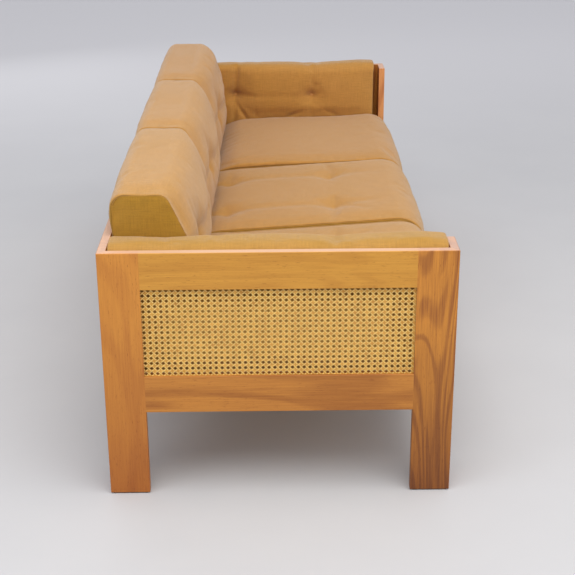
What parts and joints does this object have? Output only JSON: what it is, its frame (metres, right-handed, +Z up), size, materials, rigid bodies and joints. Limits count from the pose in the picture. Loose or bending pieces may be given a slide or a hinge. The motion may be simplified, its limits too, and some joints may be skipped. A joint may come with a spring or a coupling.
{
  "type": "sofa with wooden legs",
  "caption": "Three-seat sofa: teak frame with woven cane end panels and loose tufted wool cushions on a slatted deck.",
  "frame": {"origin": "centre of the bounding box's footprint, on the floor", "axes": "+Z up, X along the sofa, the open front faces -Y; left is -X, as seen from in front"},
  "size_m": [1.92, 0.76, 0.672],
  "materials": {
    "teak": "satin oil",
    "cane": "woven, satin",
    "beech": "plain",
    "steel": "zinc plated",
    "felt": "matte",
    "wool": "plain weave",
    "foam": "matte",
    "tufting": "cloth covered"
  },
  "bodies": {
    "frame": {"leg_side_front_left": "teak", "leg_side_front_right": "teak", "leg_side_back_left": "teak", "leg_side_back_right": "teak", "leg_face_front_left": "teak", "leg_face_front_right": "teak", "leg_face_back_left": "teak", "leg_face_back_right": "teak", "end_top_rail_left": "teak", "end_top_rail_right": "teak", "end_bottom_rail_left": "teak", "end_bottom_rail_right": "teak", "end_cane_left": "cane", "end_cane_right": "cane", "end_beads_left": "teak", "end_beads_right": "teak", "back_top_rail": "teak", "back_bottom_rail": "teak", "back_stiles": "teak", "back_cane_left": "cane", "back_cane_middle": "cane", "back_cane_right": "cane", "back_beads": "teak", "front_rail": "teak", "front_ledgers": "beech", "back_ledgers": "beech", "centre_stretcher": "beech", "arm_decks": "beech", "arm_cleats": "beech", "seat_slats": "beech", "slat_screws": "steel", "joint_plates": "steel", "plate_screws": "steel", "rail_dowels": "beech", "felt_glides": "felt"},
    "seat_cushion_left": {"seat_cover_left": "wool", "seat_foam_left": "foam", "seat_ties_left": "tufting"},
    "seat_cushion_middle": {"seat_cover_middle": "wool", "seat_foam_middle": "foam", "seat_ties_middle": "tufting"},
    "seat_cushion_right": {"seat_cover_right": "wool", "seat_foam_right": "foam"},
    "back_cushion_left": {"back_cover_left": "wool", "back_foam_left": "foam", "back_buttons_left": "tufting"},
    "back_cushion_middle": {"back_cover_middle": "wool", "back_foam_middle": "foam", "back_buttons_middle": "tufting"},
    "back_cushion_right": {"back_cover_right": "wool", "back_foam_right": "foam", "back_buttons_right": "tufting"},
    "arm_cushion_left": {"arm_cover_left": "wool", "arm_foam_left": "foam", "arm_buttons_left": "tufting"},
    "arm_cushion_right": {"arm_cover_right": "wool", "arm_foam_right": "foam", "arm_buttons_right": "tufting"}
  },
  "joints": [
    {"name": "seat_cushion_left_slide", "type": "slide", "parent": "frame", "child": "seat_cushion_left", "axis": [0, -0.998, 0.0633], "range_m": [0, 0.8]},
    {"name": "seat_cushion_middle_slide", "type": "slide", "parent": "frame", "child": "seat_cushion_middle", "axis": [0, -0.998, 0.0633], "range_m": [0, 0.8]},
    {"name": "seat_cushion_right_slide", "type": "slide", "parent": "frame", "child": "seat_cushion_right", "axis": [0, -0.998, 0.0633], "range_m": [0, 0.8]},
    {"name": "back_cushion_left_lift", "type": "slide", "parent": "frame", "child": "back_cushion_left", "axis": [0, 0, 1], "range_m": [0, 0.35]},
    {"name": "back_cushion_middle_lift", "type": "slide", "parent": "frame", "child": "back_cushion_middle", "axis": [0, 0, 1], "range_m": [0, 0.35]},
    {"name": "back_cushion_right_lift", "type": "slide", "parent": "frame", "child": "back_cushion_right", "axis": [0, 0, 1], "range_m": [0, 0.35]},
    {"name": "arm_cushion_left_lift", "type": "slide", "parent": "frame", "child": "arm_cushion_left", "axis": [0, 0, 1], "range_m": [0, 0.42]},
    {"name": "arm_cushion_right_lift", "type": "slide", "parent": "frame", "child": "arm_cushion_right", "axis": [0, 0, 1], "range_m": [0, 0.42]}
  ]
}
